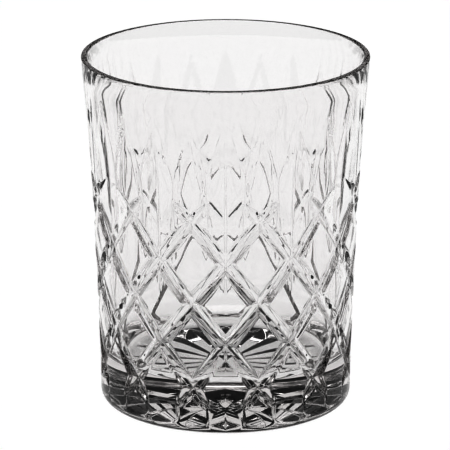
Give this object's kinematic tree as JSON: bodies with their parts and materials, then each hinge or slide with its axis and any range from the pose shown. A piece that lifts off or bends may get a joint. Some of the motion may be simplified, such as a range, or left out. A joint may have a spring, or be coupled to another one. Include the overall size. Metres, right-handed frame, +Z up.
{
  "type": "whiskey tumbler",
  "caption": "Flared round whisky tumbler of clear crystal with a heavy solid base, a band of cut diamonds topped by upright leaf-shaped cuts, a plain rim and a star-cut underside",
  "frame": {"origin": "centre of the circle the glass stands on, level with the table", "axes": "+Z up along the axis of the glass, from its foot to its rim; +X and +Y are horizontal, and a column of upright leaf cuts faces -Y"},
  "size_m": [0.0788, 0.0788, 0.098],
  "materials": {
    "crystal": "polished clear crystal"
  },
  "bodies": {
    "root": {"tumbler": "crystal"}
  },
  "joints": []
}
